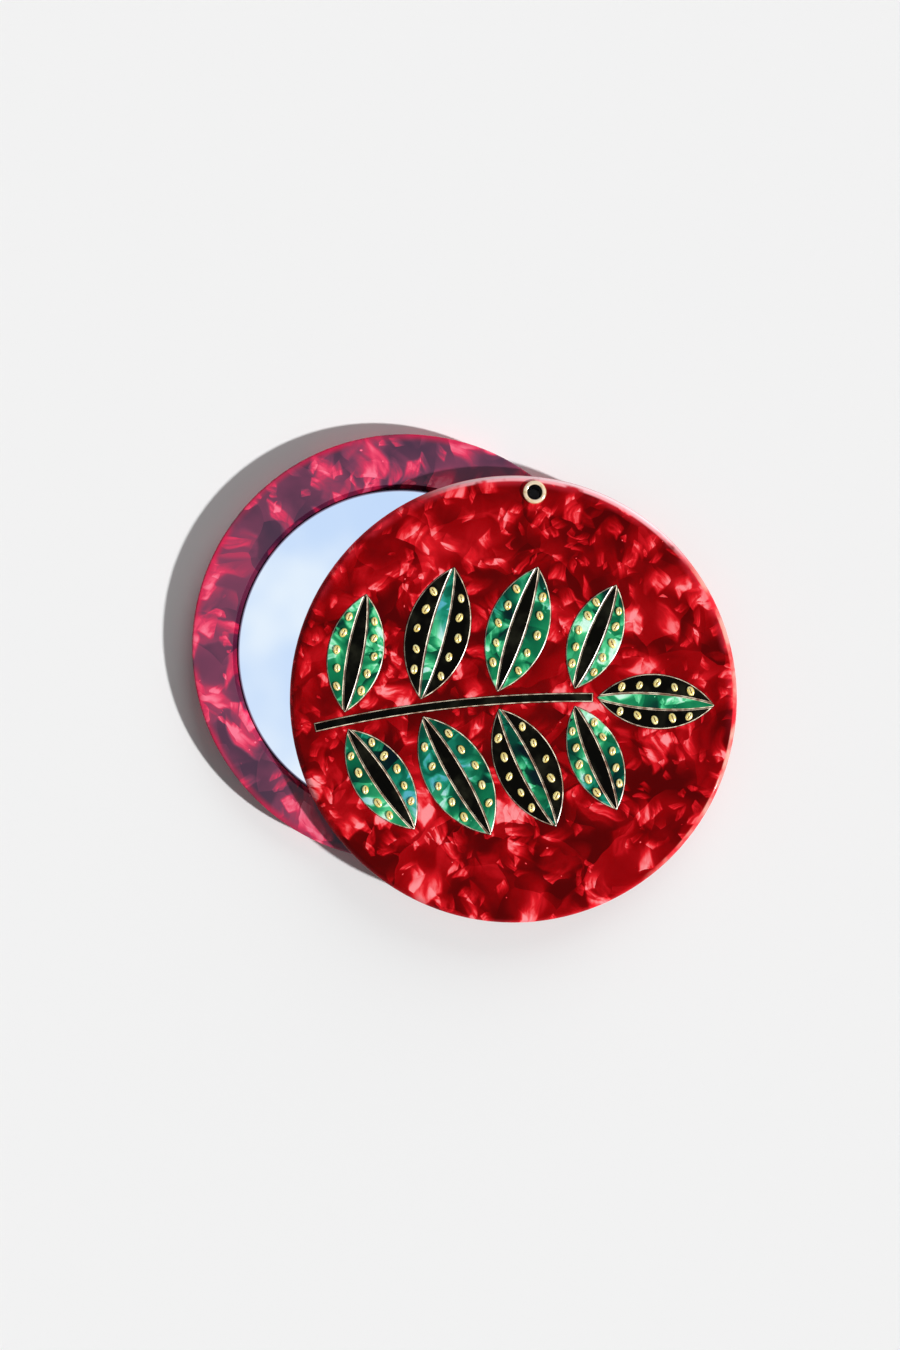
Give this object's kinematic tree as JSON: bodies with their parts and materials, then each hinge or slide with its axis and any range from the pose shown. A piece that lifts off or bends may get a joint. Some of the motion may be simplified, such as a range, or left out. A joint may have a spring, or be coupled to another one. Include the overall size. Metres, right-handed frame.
{
  "type": "compact mirror",
  "caption": "Pocket mirror of marbled acetate discs that swivel on an eyelet: a base framing a round glass mirror, and a cover with a leaf inlay and raised dots.",
  "frame": {"origin": "centre of the base disc's flat back face", "axes": "+Z out of the mirror, along the eyelet; +Y from the base's centre to the eyelet"},
  "size_m": [0.0993, 0.0839, 0.0074],
  "materials": {
    "cover_acetate": "gloss",
    "base_acetate": "gloss",
    "green_pearl": "gloss",
    "black_gloss": "gloss",
    "gold_paint": "satin",
    "eyelet_brass": "polished",
    "mirror_glass": "polished",
    "tape": "matte",
    "nylon": "matte"
  },
  "bodies": {
    "base": {"base_back_plate": "base_acetate", "mirror_bezel_ring": "base_acetate", "mirror_tape": "tape", "mirror": "mirror_glass", "pivot_spacer": "nylon", "eyelet": "eyelet_brass"},
    "cover": {"cover_back_sheet": "cover_acetate", "cover_front_sheet": "cover_acetate", "gold_dots": "gold_paint", "leaf_1_left_half": "green_pearl", "leaf_1_midrib": "black_gloss", "leaf_1_right_half": "green_pearl", "leaf_2_left_half": "green_pearl", "leaf_2_midrib": "black_gloss", "leaf_2_right_half": "green_pearl", "leaf_3_left_half": "black_gloss", "leaf_3_midrib": "green_pearl", "leaf_3_right_half": "black_gloss", "leaf_4_left_half": "green_pearl", "leaf_4_midrib": "black_gloss", "leaf_4_right_half": "green_pearl", "leaf_5_left_half": "green_pearl", "leaf_5_midrib": "black_gloss", "leaf_5_right_half": "green_pearl", "leaf_6_left_half": "black_gloss", "leaf_6_midrib": "green_pearl", "leaf_6_right_half": "black_gloss", "leaf_7_left_half": "green_pearl", "leaf_7_midrib": "black_gloss", "leaf_7_right_half": "green_pearl", "leaf_8_left_half": "green_pearl", "leaf_8_midrib": "black_gloss", "leaf_8_right_half": "green_pearl", "leaf_9_left_half": "black_gloss", "leaf_9_midrib": "green_pearl", "leaf_9_right_half": "black_gloss", "stem": "black_gloss"}
  },
  "joints": [
    {"name": "cover_swivel", "type": "hinge", "parent": "base", "child": "cover", "pos_m": [0, 0.036, 0.0038], "axis": [0, 0, 1], "continuous": true}
  ]
}
